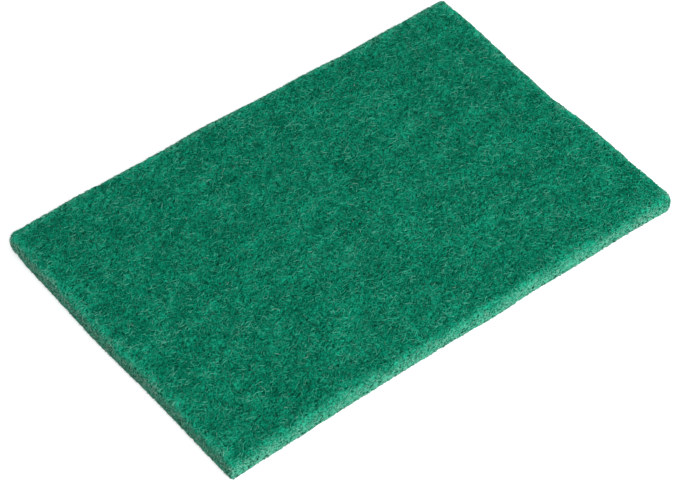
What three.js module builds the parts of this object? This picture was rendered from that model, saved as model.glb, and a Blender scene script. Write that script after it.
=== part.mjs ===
// Nylon scouring pad: one slab of curly nylon fibres bonded into an open web and cut from a
// wide sheet. It is a single piece, lying flat on its underside.
// Millimetres, +Z up. X runs along the pad and Y across it. The origin is on the underside,
// at the middle of the box that holds the pad.
import * as THREE from "three";
import { ImprovedNoise } from "three/addons/math/ImprovedNoise.js";
import { mergeVertices } from "three/addons/utils/BufferGeometryUtils.js";

// The slab between straight cuts, before its sides stray and its edges are rounded.
const LENGTH = 150;
const WIDTH = 100;
const THICKNESS = 6;

// Edges in section: the knife drags the upper edge over, and leaves the lower one crisper.
const TOP_EDGE_RADIUS = 1.3;
const BOTTOM_EDGE_RADIUS = 0.9;

// Each rounded edge takes less than half of the thickness, so a straight cut is left between.
const EDGE_SHARE = 0.45;
const topRadius = Math.min(TOP_EDGE_RADIUS, EDGE_SHARE * THICKNESS);
const bottomRadius = Math.min(BOTTOM_EDGE_RADIUS, EDGE_SHARE * THICKNESS);

// Corners seen from above. Handling has worn the front right one the most.
const BACK_LEFT_RADIUS = 1.4;
const BACK_RIGHT_RADIUS = 1;
const FRONT_LEFT_RADIUS = 1.2;
const FRONT_RIGHT_RADIUS = 2;

// How far each side strays outwards from its straight cut, at even steps along it.
// Back and front go from -X to +X, left and right from -Y to +Y.
const BACK_STRAY = [-0.4, -0.2, 0.1, -0.1, 0.1, 0.5, 0.2, -0.1, -0.1, -0.5, -0.3, -0.1, -0.3];
const FRONT_STRAY = [0.7, 0.4, 0.2, 0, -0.1, -0.1, 0, 0.2, -0.1, 0, 0.1, 0.1, 0];
const LEFT_STRAY = [0, 0, -0.1, 0, 0.3, 0.4, 0.1, -0.1, -0.3];
const RIGHT_STRAY = [-0.3, -0.6, -0.1, 0.2, -0.2, 0.4, 1.3, 2.1, 2.3];

// The web's loft is uneven: broad swells and finer lumps lie over each other on the top face,
// each with its height and the usual distance from one to the next.
const SWELL_HEIGHT = 0.3;
const SWELL_SPACING = 19;
const LUMP_HEIGHT = 0.2;
const LUMP_SPACING = 8;

// The mesh: the widest step on the flat faces, and the steps that make half of an edge's arc.
const FACE_STEP = 3.5;
const EDGE_STEPS = 2;

const WEB_GREEN = 0x147257;
const WEB_ROUGHNESS = 0.92;

// Places of the grid lines across a slab from 0 to size: close together over the rounded
// margin at each end, and evenly spread between the margins.
function gridLines(size, firstMargin, lastMargin, widestStep) {
  const middle = size - firstMargin - lastMargin;
  const steps = Math.max(1, Math.ceil(middle / widestStep));
  const lines = [];
  for (let i = 0; i < EDGE_STEPS; i++) lines.push((firstMargin * i) / EDGE_STEPS);
  for (let i = 0; i < steps; i++) lines.push(firstMargin + (middle * i) / steps);
  for (let i = EDGE_STEPS; i >= 0; i--) lines.push(size - (lastMargin * i) / EDGE_STEPS);
  return lines;
}

// Bends the corner of a square of the given radius into a quarter circle. across and up are
// measured from the circle's centre, and points outside the square are left where they are.
function roundCorner(across, up, radius) {
  if (across <= 0 || up <= 0 || radius <= 0) return [across, up];
  const shrink = Math.max(across, up) / Math.hypot(across, up);
  return [across * shrink, up * shrink];
}

// Rounds the upper and lower edge. inset is a point's distance in from the nearest side.
function roundEdge(inset, height) {
  const upper = height > THICKNESS / 2;
  const radius = upper ? topRadius : bottomRadius;
  const depth = upper ? THICKNESS - height : height;
  const [across, up] = roundCorner(radius - inset, radius - depth, radius);
  return { inset: radius - across, height: upper ? THICKNESS - radius + up : radius - up };
}

// Rounds the four corners of the outline seen from above.
function roundOutline(x, y) {
  const leftRadius = y > 0 ? BACK_LEFT_RADIUS : FRONT_LEFT_RADIUS;
  const rightRadius = y > 0 ? BACK_RIGHT_RADIUS : FRONT_RIGHT_RADIUS;
  const radius = Math.min(x > 0 ? rightRadius : leftRadius, WIDTH / 2, LENGTH / 2);
  const centreX = LENGTH / 2 - radius;
  const centreY = WIDTH / 2 - radius;
  const [across, up] = roundCorner(Math.abs(x) - centreX, Math.abs(y) - centreY, radius);
  return [Math.sign(x) * (centreX + across), Math.sign(y) * (centreY + up)];
}

// A smooth curve through the strays of one side, read at a share of the side's length.
function sideCurve(strays) {
  const curve = new THREE.SplineCurve(strays.map((stray, i) => new THREE.Vector2(i, stray)));
  return (share) => curve.getPoint(THREE.MathUtils.clamp(share, 0, 1)).y;
}

const backStray = sideCurve(BACK_STRAY);
const frontStray = sideCurve(FRONT_STRAY);
const leftStray = sideCurve(LEFT_STRAY);
const rightStray = sideCurve(RIGHT_STRAY);

// Moves a point with the sides: all the way at a side, and less and less towards the other.
function strayWithSides(x, y) {
  const shareX = x / LENGTH + 0.5;
  const shareY = y / WIDTH + 0.5;
  const moveX = THREE.MathUtils.lerp(-leftStray(shareY), rightStray(shareY), shareX);
  const moveY = THREE.MathUtils.lerp(-frontStray(shareX), backStray(shareX), shareY);
  return [x + moveX, y + moveY];
}

const loftNoise = new ImprovedNoise();

// One layer of random hills. The noise is read halfway between two levels of its lattice,
// because it is nought at the lattice's own points.
function hills(x, y, height, spacing) {
  return height * loftNoise.noise(x / spacing, y / spacing, 0.5);
}

// How far the top face stands above or below its plane.
function loftRelief(x, y) {
  return hills(x, y, SWELL_HEIGHT, SWELL_SPACING) + hills(x, y, LUMP_HEIGHT, LUMP_SPACING);
}

// Takes a point on the skin of the straight slab to its place on the pad.
function softened(slab) {
  const inset = Math.min(LENGTH / 2 - Math.abs(slab.x), WIDTH / 2 - Math.abs(slab.y));
  const edge = roundEdge(inset, slab.z);
  const narrowing = 2 * (edge.inset - inset);
  const drawnX = slab.x * (1 - narrowing / LENGTH);
  const drawnY = slab.y * (1 - narrowing / WIDTH);
  const [roundX, roundY] = roundOutline(drawnX, drawnY);
  const [x, y] = strayWithSides(roundX, roundY);
  const share = edge.height / THICKNESS;
  return new THREE.Vector3(x, y, edge.height + share * loftRelief(x, y));
}

// The whole web: a box whose grid lines are spread by gridLines and whose skin is softened.
function webGeometry() {
  const alongX = gridLines(LENGTH, topRadius, topRadius, FACE_STEP);
  const alongY = gridLines(WIDTH, topRadius, topRadius, FACE_STEP);
  const alongZ = gridLines(THICKNESS, bottomRadius, topRadius, FACE_STEP);
  const steps = [alongX.length - 1, alongY.length - 1, alongZ.length - 1];
  const geometry = new THREE.BoxGeometry(...steps, ...steps);
  geometry.translate(steps[0] / 2, steps[1] / 2, steps[2] / 2);
  const places = geometry.getAttribute("position");
  for (let i = 0; i < places.count; i++) {
    const slab = new THREE.Vector3(
      alongX[Math.round(places.getX(i))] - LENGTH / 2,
      alongY[Math.round(places.getY(i))] - WIDTH / 2,
      alongZ[Math.round(places.getZ(i))],
    );
    const soft = softened(slab);
    places.setXYZ(i, soft.x, soft.y, soft.z);
  }
  geometry.deleteAttribute("normal");
  geometry.deleteAttribute("uv");
  return mergeVertices(geometry);
}

// Puts the middle of the pad's box over the origin, because the sides don't stray alike.
function centred(geometry) {
  geometry.computeBoundingBox();
  const middle = geometry.boundingBox.getCenter(new THREE.Vector3());
  return geometry.translate(-middle.x, -middle.y, 0);
}

function scouringPad() {
  const geometry = centred(webGeometry());
  geometry.computeVertexNormals();
  const web = new THREE.MeshStandardMaterial({
    color: WEB_GREEN,
    roughness: WEB_ROUGHNESS,
    metalness: 0,
  });
  const pad = new THREE.Mesh(geometry, web);
  pad.name = "scouring_pad";
  return pad;
}

const part = new THREE.Group();
part.add(scouringPad());

export default part;
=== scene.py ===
import bpy
import numpy as np
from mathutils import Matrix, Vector


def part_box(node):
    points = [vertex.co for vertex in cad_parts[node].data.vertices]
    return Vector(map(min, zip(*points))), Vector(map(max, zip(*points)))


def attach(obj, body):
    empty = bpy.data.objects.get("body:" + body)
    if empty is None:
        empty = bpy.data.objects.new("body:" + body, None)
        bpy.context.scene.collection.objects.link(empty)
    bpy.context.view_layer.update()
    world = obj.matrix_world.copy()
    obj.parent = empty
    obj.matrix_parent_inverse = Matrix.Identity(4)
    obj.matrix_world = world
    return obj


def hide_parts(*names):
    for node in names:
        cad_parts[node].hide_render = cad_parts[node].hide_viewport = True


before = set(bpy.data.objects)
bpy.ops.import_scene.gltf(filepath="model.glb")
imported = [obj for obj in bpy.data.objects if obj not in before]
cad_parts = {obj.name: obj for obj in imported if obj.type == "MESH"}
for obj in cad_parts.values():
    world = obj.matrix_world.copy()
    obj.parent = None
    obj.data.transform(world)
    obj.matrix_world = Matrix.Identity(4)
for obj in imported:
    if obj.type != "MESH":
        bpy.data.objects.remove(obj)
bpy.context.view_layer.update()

# The camera stands where the photograph was taken from: off the pad's front left corner and
# well above it, with a long lens. It aims a little below the middle of the pad.
MM = 0.001
PICTURE_WIDTH = 680
FOCAL_PIXELS = 2515.6
SENSOR_WIDTH = 36.0
CAMERA_AZIMUTH = np.radians(-38.49)
CAMERA_ELEVATION = np.radians(46.77)
CAMERA_DISTANCE = 680.5 * MM
CAMERA_AIM = Vector((-2.76, -1.42, -2.18)) * MM
CLIP_START = 10 * MM

camera_data = bpy.data.cameras.new("camera")
camera_data.sensor_width = SENSOR_WIDTH
camera_data.lens = FOCAL_PIXELS / PICTURE_WIDTH * SENSOR_WIDTH
camera_data.clip_start = CLIP_START
camera = bpy.data.objects.new("camera", camera_data)
backwards = Vector((
    np.sin(CAMERA_AZIMUTH) * np.cos(CAMERA_ELEVATION),
    -np.cos(CAMERA_AZIMUTH) * np.cos(CAMERA_ELEVATION),
    np.sin(CAMERA_ELEVATION),
))
camera.location = CAMERA_AIM + backwards * CAMERA_DISTANCE
camera.rotation_euler = backwards.to_track_quat("Z", "Y").to_euler()
bpy.context.scene.collection.objects.link(camera)
bpy.context.scene.camera = camera

# The web: crimped nylon fibres laid flat in many layers, bonded with green resin and cut to size with
# a straight knife. This is its inner skin, which shows in the hollows between the loose fibres; its
# darkest green there is painted shade. It replaces the solid, and its two worn corners are rounder
# than the solid's.
SLAB_LENGTH = 150 * MM
SLAB_WIDTH = 100 * MM
THICKNESS = 6 * MM
UPPER_RADIUS = 1.3 * MM
LOWER_RADIUS = 0.9 * MM

# The rims' radii in section at the two worn corners, and how far along a side the wear goes.
WORN_UPPER = {"back_left": 1.8 * MM, "front_right": 2.8 * MM}
WORN_LOWER = {"back_left": 3.0 * MM, "front_right": 2.1 * MM}
WORN_REACH = 11 * MM

# How far the unfolded skin reaches past the straight cuts, down to the middle of a side.
SHEET_REACH = THICKNESS / 2 - (2 - np.pi / 2) * UPPER_RADIUS

# The corners' radii seen from above.
BACK_LEFT_RADIUS = 2.8 * MM
BACK_RIGHT_RADIUS = 1.0 * MM
FRONT_LEFT_RADIUS = 1.2 * MM
FRONT_RIGHT_RADIUS = 3.4 * MM

# How far each side strays outwards from its straight cut, at even steps along it, from -X to
# +X or from -Y to +Y.
BACK_STRAY = MM * np.array([-0.4, -0.1, 0.1, -0.1, 0.1, 0.5, 0.2, -0.1, -0.1, -0.5, -0.3, -0.1, -0.3])
FRONT_STRAY = MM * np.array([0.7, 0.4, 0.2, 0, -0.1, -0.1, 0, 0.3, -0.1, 0.1, 0.1, 0.1, 0.9])
LEFT_STRAY = MM * np.array([0, 0, -0.1, 0, 0.3, 0.4, 0.1, -0.1, -0.3])
RIGHT_STRAY = MM * np.array([-0.2, -0.5, -0.1, 0.2, -0.2, 0.4, 1.3, 2.1, 2.3])


def side_curve(strays, share):
    """The stray of one side at a share of its length: a smooth cubic through even steps."""
    step = np.clip(share, 0, 1) * (len(strays) - 1)
    first = np.minimum(step.astype(int), len(strays) - 2)
    before = strays[np.maximum(first - 1, 0)]
    here, there = strays[first], strays[first + 1]
    after = strays[np.minimum(first + 2, len(strays) - 1)]
    along = step - first
    leaving, arriving = (there - before) / 2, (after - here) / 2
    cubic = 2 * here - 2 * there + leaving + arriving
    square = 3 * there - 3 * here - 2 * leaving - arriving
    return ((cubic * along + square) * along + leaving) * along + here


def smooth_step(value, start, end):
    """0 before start, 1 after end and an even S-shaped rise between them."""
    share = np.clip((value - start) / (end - start), 0, 1)
    return share * share * (3 - 2 * share)


def edge_radius(x, y, upper):
    """The radius of a rim in section, which grows towards the two corners that are worn."""
    from_side = np.minimum(np.abs(x) - SLAB_LENGTH / 2, 0)
    from_end = np.minimum(np.abs(y) - SLAB_WIDTH / 2, 0)
    near = smooth_step(-np.hypot(from_side, from_end), -WORN_REACH, 0) * (x * y < 0)
    worn = WORN_UPPER if upper else WORN_LOWER
    radius = UPPER_RADIUS if upper else LOWER_RADIUS
    return radius + (np.where(x < 0, worn["back_left"], worn["front_right"]) - radius) * near


def skin(x, y, lift, upper):
    """Places on one half of the skin, for places on the sheet that it unfolds to.

    The sheet is flat over the face. Within a radius of the rim it bends round a quarter circle
    and then hangs straight down to the middle of the side. lift is the distance out from the
    skin. The outline's corners are bent from a square into quarter circles, and each side
    strays by its own curve.
    """
    radius = edge_radius(x, y, upper)
    inset = np.minimum(SLAB_LENGTH / 2 - np.abs(x), SLAB_WIDTH / 2 - np.abs(y))
    turn = np.clip((radius - inset) / radius, 0, np.pi / 2)
    bend = radius * (np.pi / 2 - 1)
    hang = (THICKNESS / 2 - radius) * np.clip((-inset - bend) / (SHEET_REACH - bend), 0, 1)
    was = np.minimum(inset, radius)
    now = radius - (radius + lift) * np.sin(turn)
    x = x * (SLAB_LENGTH / 2 - now) / (SLAB_LENGTH / 2 - was)
    y = y * (SLAB_WIDTH / 2 - now) / (SLAB_WIDTH / 2 - was)
    depth = radius - (radius + lift) * np.cos(turn) + hang

    left = np.where(y > 0, BACK_LEFT_RADIUS, FRONT_LEFT_RADIUS)
    right = np.where(y > 0, BACK_RIGHT_RADIUS, FRONT_RIGHT_RADIUS)
    corner = np.where(x > 0, right, left)
    across = np.abs(x) - (SLAB_LENGTH / 2 - corner)
    along = np.abs(y) - (SLAB_WIDTH / 2 - corner)
    in_corner = (across > 0) & (along > 0)
    reach = np.hypot(across, along)
    shrink = np.where(in_corner, np.maximum(across, along) / np.where(in_corner, reach, 1), 1)
    x = np.sign(x) * (SLAB_LENGTH / 2 - corner + across * shrink)
    y = np.sign(y) * (SLAB_WIDTH / 2 - corner + along * shrink)

    share_x, share_y = x / SLAB_LENGTH + 0.5, y / SLAB_WIDTH + 0.5
    to_left, to_right = -side_curve(LEFT_STRAY, share_y), side_curve(RIGHT_STRAY, share_y)
    to_front, to_back = -side_curve(FRONT_STRAY, share_x), side_curve(BACK_STRAY, share_x)
    x = x + to_left + (to_right - to_left) * share_x
    y = y + to_front + (to_back - to_front) * share_y
    z = THICKNESS - depth if upper else depth
    return np.stack([x, y, z], axis=-1)


HILL_WAVES = 40
WAVE_LENGTHS = 0.7, 1.6


def hills(places, spacing, seed):
    """Random hills about 1 high and a spacing apart: plane waves in random directions, added."""
    random = np.random.default_rng(seed)
    direction = random.normal(size=(HILL_WAVES, 3))
    direction /= np.linalg.norm(direction, axis=1, keepdims=True)
    length = spacing * random.uniform(*WAVE_LENGTHS, (HILL_WAVES, 1))
    phase = random.uniform(0, 2 * np.pi, HILL_WAVES)
    waves = np.cos(places @ (2 * np.pi * direction / length).T + phase)
    return waves.sum(-1) * np.sqrt(2 / HILL_WAVES)


SWELL_HEIGHT, SWELL_SPACING = 0.09 * MM, 17 * MM
LUMP_HEIGHT, LUMP_SPACING = 0.05 * MM, 6 * MM
SIDE_BULGE = 0.32 * MM
BULGE_START, UPPER_RISE, LOWER_RISE = -1.6 * MM, 1.0 * MM, 0.6 * MM
CORNER_SPREAD, SPREAD_REACH = 0.3 * MM, 7 * MM


def placed(x, y, lift, upper):
    """The skin with its uneven loft, which fades out towards the underside that it rests on.

    The sides bulge out a little between their edges, where the knife let the layers spring
    back, and two worn corners have spread further.
    """
    beyond = np.maximum(np.abs(x) - SLAB_LENGTH / 2, np.abs(y) - SLAB_WIDTH / 2)
    to_corner = np.hypot(np.abs(x) - SLAB_LENGTH / 2, np.abs(y) - SLAB_WIDTH / 2)
    spread = CORNER_SPREAD * smooth_step(-to_corner, -SPREAD_REACH, 0) * (x * y < 0)
    rise = UPPER_RISE if upper else LOWER_RISE
    bulge = (SIDE_BULGE + spread) * smooth_step(beyond, BULGE_START, rise)
    rough = skin(x, y, lift + bulge, upper)
    swell = SWELL_HEIGHT * hills(rough, SWELL_SPACING, seed=3)
    swell += LUMP_HEIGHT * hills(rough, LUMP_SPACING, seed=4)
    rough[..., 2] += swell * rough[..., 2] / THICKNESS
    return rough


# The sheet's limits, and the shift that centres the outline on the box of the solid.
SHEET_X = (SLAB_LENGTH / 2 + SHEET_REACH) * np.array([-1, 1])
SHEET_Y = (SLAB_WIDTH / 2 + SHEET_REACH) * np.array([-1, 1])
OUTLINE_COLUMNS, OUTLINE_ROWS = 400, 270
outline_x, outline_y = np.meshgrid(
    np.linspace(*SHEET_X, OUTLINE_COLUMNS), np.linspace(*SHEET_Y, OUTLINE_ROWS)
)
outline = skin(outline_x, outline_y, 0 * outline_x, True).reshape(-1, 3)
box_low, box_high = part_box("scouring_pad")
box_middle = (np.array(box_low) + np.array(box_high)) / 2
SLAB_PLACE = (box_middle - (outline.min(0) + outline.max(0)) / 2) * np.array([1, 1, 0])

# The paleness of the cut sides, partly the cut fibre ends' own colour and partly a painted sheen,
# begins this far in from each rim, and is whole this far down the unfolded side. Under the pad it
# fades away again.
PALE_FROM = {"left": 1.2 * MM, "right": 1.1 * MM, "front": 1.8 * MM, "back": 2.4 * MM}
PALE_TO = {"left": 1.6 * MM, "right": 1.6 * MM, "front": 5.2 * MM, "back": 2.6 * MM}

# The strip along each rim that is painted lighter: a painted highlight where the top turns down into
# the side.
RIM_HIGHLIGHT_WIDTH = {"left": 4.4 * MM, "right": 4.6 * MM, "front": 5.4 * MM, "back": 4.8 * MM}
RIM_HIGHLIGHT_END = {"left": 0, "right": 0, "front": 3.2 * MM, "back": 0}
UNDER_FADE = 1.2 * MM

# How far these strips wander to and fro, and over what length.
CUT_DRIFT, CUT_DRIFT_SPACING = 0.45 * MM, 7 * MM
CUT_FRAY, CUT_FRAY_SPACING = 0.3 * MM, 2.5 * MM
RIM_DRIFT, RIM_DRIFT_SPACING = 0.5 * MM, 6 * MM


def side_share(x, y, uneven, start, end, upper):
    """How far a place belongs to a side: 0 on the faces, rising to 1 from start to end.

    start is measured in from the upper rim and end down from it, both along the skin.
    """
    beyond = {
        "left": -x - SLAB_LENGTH / 2,
        "right": x - SLAB_LENGTH / 2,
        "front": -y - SLAB_WIDTH / 2,
        "back": y - SLAB_WIDTH / 2,
    }
    shares = []
    for side, far in beyond.items():
        down = far if upper else 2 * SHEET_REACH - far
        seen = 1 if upper else smooth_step(far + uneven, -UNDER_FADE, 0)
        shares.append(seen * smooth_step(down + uneven, -start[side], end[side]))
    return np.max(shares, axis=0)


def side_values(x, y, places, upper):
    """The share of cut fibre ends, whose paleness is partly painted sheen, and the share of the rim
    strip with its painted highlight, at each place.
    """
    drift = CUT_DRIFT * hills(places, CUT_DRIFT_SPACING, seed=9)
    cut_uneven = drift + CUT_FRAY * hills(places, CUT_FRAY_SPACING, seed=10)
    rim_highlight_uneven = RIM_DRIFT * hills(places, RIM_DRIFT_SPACING, seed=13)
    cut_and_sheen = side_share(x, y, cut_uneven, PALE_FROM, PALE_TO, upper)
    rim_highlight = side_share(x, y, rim_highlight_uneven, RIM_HIGHLIGHT_WIDTH, RIM_HIGHLIGHT_END, upper) ** 2
    return {"cut_and_sheen": cut_and_sheen, "rim_highlight": rim_highlight}


def new_mesh(name, vertices, faces, values, corner_uv):
    """A mesh object from whole arrays, with point values and one UV pair for each face corner.

    What would reach below the underside is pressed flat against it.
    """
    mesh = bpy.data.meshes.new(name)
    sides = faces.shape[1]
    vertices = np.maximum(vertices + SLAB_PLACE, [-np.inf, -np.inf, 0])
    mesh.vertices.add(len(vertices))
    mesh.vertices.foreach_set("co", vertices.astype(np.float32).ravel())
    mesh.loops.add(faces.size)
    mesh.loops.foreach_set("vertex_index", faces.astype(np.int32).ravel())
    mesh.polygons.add(len(faces))
    mesh.polygons.foreach_set("loop_start", np.arange(0, faces.size, sides, dtype=np.int32))
    for title, numbers in values.items():
        layer = mesh.attributes.new(title, "FLOAT", "POINT")
        layer.data.foreach_set("value", numbers.astype(np.float32).ravel())
    uv = mesh.uv_layers.new(name="OFBake")
    uv.data.foreach_set("uv", corner_uv.astype(np.float32).ravel())
    mesh.update(calc_edges=True)
    mesh.validate()
    mesh.shade_smooth()
    piece = bpy.data.objects.new(name, mesh)
    bpy.context.scene.collection.objects.link(piece)
    return piece


# The fibres were laid more along the pad than across it, a little off its long sides.
LAID_ANGLE = np.radians(18)
LAID_STRETCH = 1.8
STRAND_SHARPNESS, STRAND_CURL = 9.0, 0.6
PATCH_SIZE, PATCH_CONTRAST = 1.6 * MM, 0.25
SPECK_SIZE, SPECK_CONTRAST = 0.45 * MM, 3.9
PATCH_SHIFT = 83 * MM


class Value:
    """A number, colour or vector that a shader's node gives, used as in written sums."""

    def __init__(self, finish, socket):
        self.finish = finish
        self.socket = socket

    def combined(self, operation, first, second=0.0):
        sockets = {0: first, 1: second}
        return self.finish.node("ShaderNodeMath", {"operation": operation}, sockets).value(0)

    def __add__(self, other):
        return self.combined("ADD", self, other)

    def __sub__(self, other):
        return self.combined("SUBTRACT", self, other)

    def __rsub__(self, other):
        return self.combined("SUBTRACT", other, self)

    def __mul__(self, other):
        return self.combined("MULTIPLY", self, other)

    def __abs__(self):
        return self.combined("ABSOLUTE", self)

    __radd__ = __add__
    __rmul__ = __mul__


class Node:
    """One node of a shader, whose outputs are read as values."""

    def __init__(self, finish, node):
        self.finish = finish
        self.node = node

    def value(self, output):
        return Value(self.finish, self.node.outputs[output])


class Finish:
    """The nodes that give a material, or the sky, its look."""

    def __init__(self, owner):
        self.owner = owner
        owner.use_nodes = True
        self.tree = owner.node_tree
        self.tree.nodes.clear()

    def node(self, kind, settings=None, inputs=None, stops=None):
        """A node with its settings, then its colour stops, then its sockets' values or links."""
        node = self.tree.nodes.new(kind)
        for name, setting in (settings or {}).items():
            setattr(node, name, setting)
        for place, (position, color) in enumerate(stops or []):
            ramp = node.color_ramp.elements
            stop = ramp[place] if place < 2 else ramp.new(position)
            stop.position, stop.color = position, color
        for name, given in (inputs or {}).items():
            if isinstance(given, Value):
                self.tree.links.new(given.socket, node.inputs[name])
            else:
                node.inputs[name].default_value = given
        return Node(self, node)

    def attribute(self, name):
        return self.node("ShaderNodeAttribute", {"attribute_name": name}).value("Fac")

    def noise(self, size, detail, shift=0.0, distortion=0.0):
        """Cloudy noise on the object's own coordinates, with patches about one size across.

        The patches are drawn out the way that the fibres were laid.
        """
        turned = {
            "Vector": self.node("ShaderNodeTexCoord").value("Object"),
            "Location": (shift, shift, shift),
            "Rotation": (0, 0, LAID_ANGLE),
            "Scale": (LAID_STRETCH, 1, 1),
        }
        laid = self.node("ShaderNodeMapping", {"vector_type": "TEXTURE"}, turned).value(0)
        inputs = {"Vector": laid, "Scale": 1 / size, "Detail": detail, "Distortion": distortion}
        return self.node("ShaderNodeTexNoise", inputs=inputs).value("Fac")

    def patches(self):
        """How much lighter or darker each patch and each speck of the cut sides is."""
        patch = self.noise(PATCH_SIZE, detail=1, shift=PATCH_SHIFT) - 0.5
        speck = self.noise(SPECK_SIZE, detail=1, shift=PATCH_SHIFT) - 0.5
        return patch * PATCH_CONTRAST + speck * SPECK_CONTRAST

    def strands(self, size, shift):
        """Curly lines, 1 along their middles: the places where noise crosses its middle value."""
        noise = self.noise(size, detail=1.0, shift=shift, distortion=STRAND_CURL)
        return 1 - STRAND_SHARPNESS * abs(noise - 0.5)

    def highest(self, first, second):
        return first.combined("MAXIMUM", first, second)

    def ramp(self, factor, stops):
        return self.node("ShaderNodeValToRGB", inputs={"Fac": factor}, stops=stops).value("Color")

    def mix(self, factor, first, second):
        """The first colour where the factor is 0, and the second where it is 1."""
        inputs = {0: factor, 6: first, 7: second}
        return self.node("ShaderNodeMix", {"data_type": "RGBA"}, inputs).value(2)

    def bump(self, height, distance):
        inputs = {"Height": height, "Distance": distance}
        return self.node("ShaderNodeBump", inputs=inputs).value("Normal")

    def looked_at(self):
        """1 for what the camera sees, straight or in a gloss or through a clear body, else 0."""
        path = self.node("ShaderNodeLightPath")
        mirrored = self.highest(path.value("Is Glossy Ray"), path.value("Is Transmission Ray"))
        return self.highest(path.value("Is Camera Ray"), mirrored)

    def surface(self, color, roughness, specular, normal):
        """The finished surface: matt nylon with a faint gloss from its resin."""
        inputs = {"Base Color": color, "Roughness": roughness, "Normal": normal}
        inputs["Specular IOR Level"] = specular
        shader = self.node("ShaderNodeBsdfPrincipled", inputs=inputs)
        self.node("ShaderNodeOutputMaterial", inputs={"Surface": shader.value("BSDF")})
        return self.owner


def srgb(red, green, blue):
    """A colour written as it looks, from 0 to 255, as the linear light that shaders work in."""
    share = np.array([red, green, blue]) / 255
    light = np.where(share > 0.04045, ((share + 0.055) / 1.055) ** 2.4, share / 12.92)
    return (*light.tolist(), 1.0)


# The two hollow greens are painted shade: the dark between the strands, and between the cut ends on
# the sides.
HOLLOW_SHADE_GREEN = srgb(0, 76, 56)
DEEP_GREEN = srgb(0, 124, 93)
WEB_GREEN = srgb(34, 186, 147)
CUT_HOLLOW_SHADE_GREEN = srgb(0, 52, 38)
# The cut sides' pale green is partly their own colour and partly painted sheen.
CUT_AND_SHEEN_GREEN = srgb(86, 184, 152)
WEB_STEP = 0.68 * MM
WEB_RECESS = 0.22 * MM
WEB_LUMP_HEIGHT, WEB_LUMP_SPACING = 0.035 * MM, 2.4 * MM
WEB_PIT_HEIGHT, WEB_PIT_SPACING = 0.045 * MM, 1.4 * MM
UV_MARGIN = 0.01


def web_half(x, y, upper):
    """One half of the web's skin: the sheet, sunk below the fibres by a recess with lumps."""
    smooth = skin(x, y, 0 * x, upper)
    lumps = WEB_LUMP_HEIGHT * hills(smooth, WEB_LUMP_SPACING, seed=11)
    pits = WEB_PIT_HEIGHT * hills(smooth, WEB_PIT_SPACING, seed=12)
    return placed(x, y, lumps + pits - WEB_RECESS, upper)


def make_web():
    """Two grids over the unfolded halves, joined along the middle of the sides."""
    columns = int(np.ptp(SHEET_X) / WEB_STEP) + 1
    rows = int(np.ptp(SHEET_Y) / WEB_STEP) + 1
    x, y = np.meshgrid(np.linspace(*SHEET_X, columns), np.linspace(*SHEET_Y, rows))
    upper, lower = web_half(x, y, True), web_half(x, y, False)
    number = np.arange(rows * columns).reshape(rows, columns)
    inner = np.zeros((rows, columns), bool)
    inner[1:-1, 1:-1] = True
    below = number.copy()
    below[inner] = rows * columns + np.arange(inner.sum())
    vertices = np.concatenate([upper.reshape(-1, 3), lower[inner]])
    above, beneath = side_values(x, y, upper, True), side_values(x, y, lower, False)
    values = {title: np.concatenate([above[title].ravel(), beneath[title][inner]]) for title in above}

    def quads(grid, turned):
        corners = [grid[:-1, :-1], grid[:-1, 1:], grid[1:, 1:], grid[1:, :-1]]
        return np.stack(corners[::-1] if turned else corners, axis=-1).reshape(-1, 4)

    faces = np.concatenate([quads(number, False), quads(below, True)])
    across = np.linspace(UV_MARGIN, 1 - UV_MARGIN, columns)
    across, up = np.meshgrid(across, np.linspace(UV_MARGIN, 0.5 - UV_MARGIN, rows))
    sheet = np.stack([across, up], axis=-1).reshape(-1, 2)
    corner_uv = np.concatenate([sheet[quads(number, False)], sheet[quads(number, True)] + [0, 0.5]])
    return new_mesh("pad_web", vertices, faces, values, corner_uv)


STRAND_SIZE, FINE_STRAND_SIZE, STRAND_SHIFT = 0.9 * MM, 0.7 * MM, 31 * MM
WEB_GRAIN_SIZE, WEB_CLOUD_SIZE = 0.3 * MM, 6 * MM
# The last share is how much the painted highlight along the rims lightens the web.
STRAND_SHARE, WEB_GRAIN_SHARE, WEB_CLOUD_SHARE, WEB_RIM_HIGHLIGHT_SHARE = 0.42, 0.55, 0.4, 0.19
WEB_BUMP, STRAND_BUMP_SHARE, GRAIN_BUMP_SHARE = 0.2 * MM, 0.4, 0.6


def web_finish():
    """Resin-bound web: curly strands over hollows darkened with painted shade, mottled, lighter along
    the rims with a painted highlight, and paler along the cut, partly with a painted sheen.
    """
    finish = Finish(bpy.data.materials.new("web_nylon"))
    broad = finish.strands(STRAND_SIZE, shift=0)
    strands = finish.highest(broad, finish.strands(FINE_STRAND_SIZE, shift=STRAND_SHIFT))
    grain = finish.noise(WEB_GRAIN_SIZE, detail=1)
    clouds = finish.noise(WEB_CLOUD_SIZE, detail=2)
    # Painted highlight along the rims.
    rim_highlight = finish.attribute("rim_highlight")
    weave = strands * STRAND_SHARE + grain * WEB_GRAIN_SHARE
    weave = weave + clouds * WEB_CLOUD_SHARE + rim_highlight * WEB_RIM_HIGHLIGHT_SHARE
    # The darkest stops are painted shade in the hollows.
    green = finish.ramp(weave, [(0.45, HOLLOW_SHADE_GREEN), (0.75, DEEP_GREEN), (1.0, WEB_GREEN)])
    pale = finish.ramp(weave + finish.patches(), [(0.4, CUT_HOLLOW_SHADE_GREEN), (0.95, CUT_AND_SHEEN_GREEN)])
    # The cut sides are paler: partly the cut ends' own colour, partly painted sheen.
    color = finish.mix(finish.attribute("cut_and_sheen"), green, pale)
    normal = finish.bump(strands * STRAND_BUMP_SHARE + grain * GRAIN_BUMP_SHARE, WEB_BUMP)
    return finish.surface(color, roughness=0.85, specular=0.03, normal=normal)


web = make_web()
web.data.materials.append(web_finish())
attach(web, "root")
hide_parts("scouring_pad")

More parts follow.
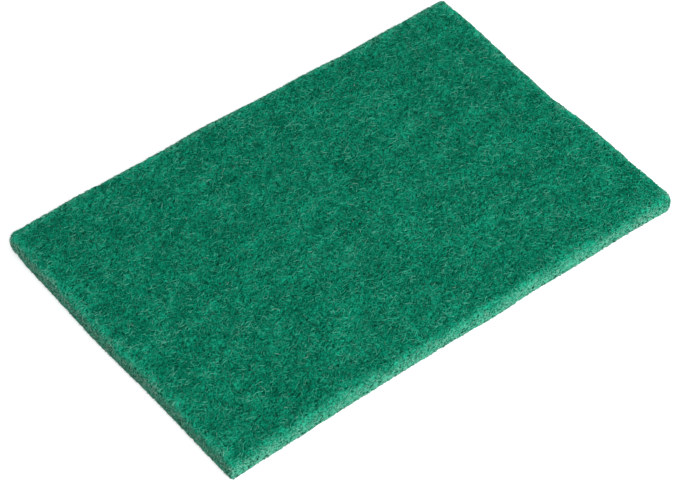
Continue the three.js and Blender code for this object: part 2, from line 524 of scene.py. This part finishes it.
# The loose fibres: single crimped filaments that lie on the web's faces and sides and dive in
# and out of it. Each is resin-coated nylon, bonded to the web wherever the two cross.
FIBRE_SIDES = 3
LENGTH_SHARES = 0.6, 1.4

# On the sides, a path's length, and its climb across the layers, as shares of those above.
SIDE_STRIDE, SIDE_CLIMB = 0.5, 0.5

# The usual turn at each step, in radians, by a path's bend and by its crimp, and the pace in
# radians a step at which the crimp swings and the path dives.
FIBRE_BEND = 0.3
CRIMP, CRIMP_PACE = 0.45, 1.3
DIVE_PACE, DIVE_SHARES = 1.1, (0.3, 1)
LAST_PHASE = 6


def fibre_paths(count, points, length, lift_range, seed):
    """Curly paths over the unfolded sheet.

    A path sets off at a random place and heading, and then turns by a bend of its own and a
    crimp that swings to and fro. Where it would leave the sheet it is mirrored back. Its lift
    rises and sinks as a wave between the limits given. On the sides a path is short and keeps
    along the layers, because the web was laid flat.
    """
    random = np.random.default_rng(seed)
    step = np.arange(points)
    bend = random.normal(0, FIBRE_BEND, (count, 1))
    crimp = random.normal(0, CRIMP, (count, 1))
    swing = np.sin(CRIMP_PACE * step + random.uniform(0, LAST_PHASE, (count, 1)))
    any_way = random.uniform(0, 2 * np.pi, (count, 1))
    first = LAID_ANGLE + np.arctan2(np.sin(any_way), LAID_STRETCH * np.cos(any_way))
    heading = first + np.cumsum(bend + crimp * swing, axis=1)
    stride = length / (points - 1) * random.uniform(*LENGTH_SHARES, (count, 1))
    first_x = random.uniform(*SHEET_X, (count, 1))
    first_y = random.uniform(*SHEET_Y, (count, 1))
    on_end = np.abs(first_x) > SLAB_LENGTH / 2
    on_front = np.abs(first_y) > SLAB_WIDTH / 2
    stride = stride * np.where(on_end | on_front, SIDE_STRIDE, 1)
    x = first_x + np.cumsum(np.cos(heading) * stride * np.where(on_end, SIDE_CLIMB, 1), axis=1)
    y = first_y + np.cumsum(np.sin(heading) * stride * np.where(on_front, SIDE_CLIMB, 1), axis=1)
    x = SHEET_X[1] - np.abs(SHEET_X[1] - x)
    x = SHEET_X[0] + np.abs(x - SHEET_X[0])
    y = SHEET_Y[1] - np.abs(SHEET_Y[1] - y)
    y = SHEET_Y[0] + np.abs(y - SHEET_Y[0])
    wave = np.sin(DIVE_PACE * step + random.uniform(0, LAST_PHASE, (count, 1)))
    low, high = lift_range
    lift = low + (high - low) * (0.5 + 0.5 * wave) * random.uniform(*DIVE_SHARES, (count, 1))
    return x, y, lift


CELL_MARGIN = 0.1
TINY = 1e-12


def unit(vectors):
    """The same directions with a length of 1, and nought where a vector is nought."""
    return vectors / (np.linalg.norm(vectors, axis=-1, keepdims=True) + TINY)


def fibre_mesh(name, path, normal, radius, values):
    """Closed tubes along the paths, pointed at both ends.

    At each inner point of a path stands a ring of corners around it, in the plane of the skin's
    normal and of the side direction. The first and last points are single tips. Each tube has
    a square cell of the UV map to itself.
    """
    count, points = path.shape[:2]
    tangent = np.gradient(path, axis=1)
    sideways = unit(np.cross(tangent, normal))
    upwards = unit(np.cross(sideways, tangent))
    angle = np.pi / 2 + 2 * np.pi * np.arange(FIBRE_SIDES) / FIBRE_SIDES
    across = np.cos(angle)[:, None] * sideways[:, 1:-1, None]
    above = np.sin(angle)[:, None] * upwards[:, 1:-1, None]
    ring = path[:, 1:-1, None] + radius[:, None, None, None] * (across + above)
    rings = points - 2
    vertices = np.concatenate([path[:, :1], ring.reshape(count, -1, 3), path[:, -1:]], axis=1)
    corner = 1 + np.arange(rings * FIBRE_SIDES).reshape(rings, FIBRE_SIDES)
    beside = np.roll(corner, -1, axis=1)
    near, next_near, far, next_far = corner[:-1], beside[:-1], corner[1:], beside[1:]
    walls = np.stack([near, next_near, next_far, near, next_far, far], axis=-1)
    tip = np.zeros(FIBRE_SIDES, int)
    start = np.stack([tip, beside[0], corner[0]], axis=-1)
    end = np.stack([tip + rings * FIBRE_SIDES + 1, corner[-1], beside[-1]], axis=-1)
    one = np.concatenate([start, walls.reshape(-1, 3), end])
    per_fibre = rings * FIBRE_SIDES + 2
    faces = (one[None] + per_fibre * np.arange(count)[:, None, None]).reshape(-1, 3)

    cells = int(np.ceil(np.sqrt(count)))
    across_cell = [CELL_MARGIN, 1 - CELL_MARGIN]
    along = np.concatenate([[0], np.repeat(np.linspace(*across_cell, rings), FIBRE_SIDES), [1]])
    around = np.concatenate([[0.5], np.tile(np.linspace(*across_cell, FIBRE_SIDES), rings), [0.5]])
    cell = CELL_MARGIN + (1 - 2 * CELL_MARGIN) * np.stack([around, along], axis=-1)
    place = np.stack(np.divmod(np.arange(count), cells), axis=-1)
    uv = ((place[:, None] + cell[None]) / cells).reshape(-1, 2)

    def spread(numbers):
        inner = np.repeat(numbers[:, 1:-1], FIBRE_SIDES, axis=1)
        return np.concatenate([numbers[:, :1], inner, numbers[:, -1:]], axis=1)

    spread_values = {title: spread(numbers) for title, numbers in values.items()}
    return new_mesh(name, vertices.reshape(-1, 3), faces, spread_values, uv[faces])


NORMAL_STEP = 0.1 * MM
THICKNESS_SHARES = 0.7, 1.3
# Painted shade on a fibre grows from nothing at this lift to whole at this depth below the skin.
DIVE_SHADE_FROM, DIVE_SHADE_TO = -0.05 * MM, 0.4 * MM


def lay_fibres(name, x, y, lift, upper, thickness, seed):
    """One piece of fibres that follow the given places on the upper or lower half of the skin."""
    path = placed(x, y, lift, upper)
    normal = placed(x, y, lift + NORMAL_STEP, upper) - path
    random = np.random.default_rng(seed)
    radius = thickness / 2 * random.uniform(*THICKNESS_SHARES, len(x))
    tone = random.uniform(0, 1, (len(x), 1)) + 0 * x
    # The share of painted shade: how far each point of a fibre has dived below the skin.
    dive_shade = smooth_step(-lift, DIVE_SHADE_FROM, DIVE_SHADE_TO)
    values = {"tone": tone, "dive_shade": dive_shade, **side_values(x, y, path, upper)}
    return fibre_mesh(name, path, normal, radius, values)


GRIT_GREY = srgb(140, 154, 144)
FLECK_WHITE = srgb(164, 218, 196)
FIBRE_SHADE = srgb(0, 84, 62)
FIBRE_GREEN = srgb(0, 148, 112)
FIBRE_LIGHT = srgb(42, 188, 150)
FIBRE_PALE = srgb(112, 214, 184)
# The cut colours are paler and greyer than the faces': partly the cut ends' own colour, partly
# painted sheen.
CUT_FIBRE_SHADE = srgb(0, 62, 44)
CUT_FIBRE_GREEN = srgb(42, 155, 121)
CUT_FIBRE_AND_SHEEN_PALE = srgb(172, 222, 202)
NO_GRIT, SOME_GRIT, ALL_FLECK = (0, 0, 0, 1), (0.2, 0.2, 0.2, 1), (1, 1, 1, 1)
FIBRE_GRAIN_SIZE, FIBRE_CLOUD_SIZE = 0.5 * MM, 5 * MM
TONE_SHARE, FIBRE_GRAIN_SHARE, FIBRE_CLOUD_SHARE = 0.84, 0.3, 0.5
# The first two shares are of the painted highlight along the rims and of the painted shade on diving
# fibres.
FIBRE_RIM_HIGHLIGHT_SHARE, DIVE_SHADE_SHARE, WEAVE_START = 0.24, 0.25, 0.21
GRIT_SIZE, GRIT_SHIFT = 0.35 * MM, 57 * MM
FIBRE_BUMP = 0.04 * MM


def fibre_finish():
    """Resin-coated filaments: each its own green, with painted shade where it dives, lighter along
    the rims with a painted highlight, and paler where cut, partly with a painted sheen.
    """
    finish = Finish(bpy.data.materials.new("fibre_nylon"))
    tone = finish.attribute("tone")
    grain = finish.noise(FIBRE_GRAIN_SIZE, detail=1)
    clouds = finish.noise(FIBRE_CLOUD_SIZE, detail=2)
    # Painted shade: darker where a fibre dives below the skin.
    depth = finish.attribute("dive_shade")
    # Painted highlight along the rims.
    rim_highlight = finish.attribute("rim_highlight")
    weave = tone * TONE_SHARE + grain * FIBRE_GRAIN_SHARE + clouds * FIBRE_CLOUD_SHARE
    weave = weave + rim_highlight * FIBRE_RIM_HIGHLIGHT_SHARE - depth * DIVE_SHADE_SHARE - WEAVE_START
    stops = [(0.1, FIBRE_SHADE), (0.45, FIBRE_GREEN), (0.75, FIBRE_LIGHT), (1.0, FIBRE_PALE)]
    green = finish.ramp(weave, stops)
    pale_stops = [(0, CUT_FIBRE_SHADE), (0.48, CUT_FIBRE_GREEN), (1.0, CUT_FIBRE_AND_SHEEN_PALE)]
    pale = finish.ramp(weave + finish.patches(), pale_stops)
    # The cut sides are paler: partly the cut ends' own colour, partly painted sheen.
    clean = finish.mix(finish.attribute("cut_and_sheen"), green, pale)
    speckle = finish.noise(GRIT_SIZE, detail=0, shift=GRIT_SHIFT)
    grit = finish.ramp(speckle, [(0.5, NO_GRIT), (0.8, SOME_GRIT)])
    fleck = finish.ramp(tone, [(0.998, NO_GRIT), (0.999, ALL_FLECK)])
    color = finish.mix(fleck, finish.mix(grit, clean, GRIT_GREY), FLECK_WHITE)
    normal = finish.bump(grain, FIBRE_BUMP)
    return finish.surface(color, roughness=0.6, specular=0.05, normal=normal)


fibre_material = fibre_finish()

# Each layer's name, number of fibres, points on each, length, half of the skin, lowest and
# highest lift, thickness and seed.
FIBRE_LAYERS = [
    ("upper_fibres", 8200, 6, 2.6 * MM, True, (-0.16 * MM, 0.06 * MM), 0.105 * MM, 21),
    ("middle_fibres", 15800, 4, 1.9 * MM, True, (-0.2 * MM, 0.02 * MM), 0.12 * MM, 31),
    ("deep_fibres", 15800, 4, 1.9 * MM, True, (-0.26 * MM, -0.04 * MM), 0.14 * MM, 41),
    ("lower_fibres", 12000, 4, 1.9 * MM, False, (-0.28 * MM, -0.08 * MM), 0.14 * MM, 51),
]


def finish_fibres(fibres):
    fibres.data.materials.append(fibre_material)
    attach(fibres, "root")


for name, count, points, length, upper, lift_range, thickness, seed in FIBRE_LAYERS:
    x, y, lift = fibre_paths(count, points, length, lift_range, seed)
    finish_fibres(lay_fibres(name, x, y, lift, upper, thickness, seed + 1))

# The cut ends: short stubs where the knife went through the layers. They stand out of the sides and
# of the rim above them, and are coloured pale, partly as the cut fibre ends' own colour and partly as
# a painted sheen.
END_SHARES = np.array([0, 0.35, 0.7, 1])  # a stub's four points, from its root to its tip
END_ROOT = -0.5 * MM
END_REACH = 0.16 * MM
END_DRIFT = 0.35 * MM
END_THICKNESS = 0.15 * MM
END_LENGTHS = -0.4, 1
ENDS_TRIED = 50000
ENDS_FROM = -0.3 * MM


def end_paths(count, seed):
    """Stubs at random places on the sides, each from its root in the web to its free tip.

    They are tried over the whole sheet, and those on the faces are dropped.
    """
    random = np.random.default_rng(seed)
    x = random.uniform(*SHEET_X, (count, 1))
    y = random.uniform(*SHEET_Y, (count, 1))
    beyond = np.maximum(np.abs(x) - SLAB_LENGTH / 2, np.abs(y) - SLAB_WIDTH / 2)
    on_side = beyond[:, 0] > ENDS_FROM
    x, y = x[on_side], y[on_side]
    count = len(x)
    x = x + END_SHARES * random.normal(0, END_DRIFT, (count, 1))
    y = y + END_SHARES * random.normal(0, END_DRIFT, (count, 1))
    x, y = np.clip(x, *SHEET_X), np.clip(y, *SHEET_Y)
    tip = END_REACH * random.uniform(*END_LENGTHS, (count, 1)) ** 3
    return x, y, END_ROOT + END_SHARES * (tip - END_ROOT)


for name, upper, seed in [("upper_cut_ends", True, 61), ("lower_cut_ends", False, 71)]:
    x, y, lift = end_paths(ENDS_TRIED, seed)
    finish_fibres(lay_fibres(name, x, y, lift, upper, END_THICKNESS, seed + 1))

# The stage: a plain white floor that keeps the pad's shadow, one large soft lamp off the front
# long side and an even pale sky. Floor and sky look white, but light the pad at a plain level.
FLOOR_SIZE = 4.0
FLOOR_WHITE = (0.8, 0.8, 0.8, 1)
FLOOR_GLOW = 0.7
PURE_WHITE = (1, 1, 1, 1)
SKY_LIGHT = 0.43
KEY_POWER = 7.4
KEY_SIZE = 0.6
KEY_PLACE = Vector((0.12, -0.75, 0.5))

floor_mesh = bpy.data.meshes.new("floor")
floor_corners = FLOOR_SIZE / 2 * np.array([(-1, -1, 0), (1, -1, 0), (1, 1, 0), (-1, 1, 0)])
floor_mesh.from_pydata(floor_corners, [], [(0, 1, 2, 3)])
floor = bpy.data.objects.new("floor", floor_mesh)
bpy.context.scene.collection.objects.link(floor)
floor_finish = Finish(bpy.data.materials.new("floor_white"))
paint = floor_finish.node("ShaderNodeBsdfDiffuse", inputs={"Color": FLOOR_WHITE})
glow_inputs = {"Color": PURE_WHITE, "Strength": floor_finish.looked_at() * FLOOR_GLOW}
glow = floor_finish.node("ShaderNodeEmission", inputs=glow_inputs)
both = floor_finish.node("ShaderNodeAddShader", inputs={0: paint.value(0), 1: glow.value(0)})
floor_finish.node("ShaderNodeOutputMaterial", inputs={"Surface": both.value(0)})
floor_mesh.materials.append(floor_finish.owner)

sky = Finish(bpy.data.worlds.new("sky"))
strength = SKY_LIGHT + (1 - SKY_LIGHT) * sky.looked_at()
light = sky.node("ShaderNodeBackground", inputs={"Color": PURE_WHITE, "Strength": strength})
sky.node("ShaderNodeOutputWorld", inputs={"Surface": light.value(0)})
bpy.context.scene.world = sky.owner

key_data = bpy.data.lights.new("key", "AREA")
key_data.size = KEY_SIZE
key_data.energy = KEY_POWER
key = bpy.data.objects.new("key", key_data)
key.location = KEY_PLACE
key.rotation_euler = KEY_PLACE.to_track_quat("Z", "Y").to_euler()
bpy.context.scene.collection.objects.link(key)

bpy.context.scene.view_settings.view_transform = "Standard"
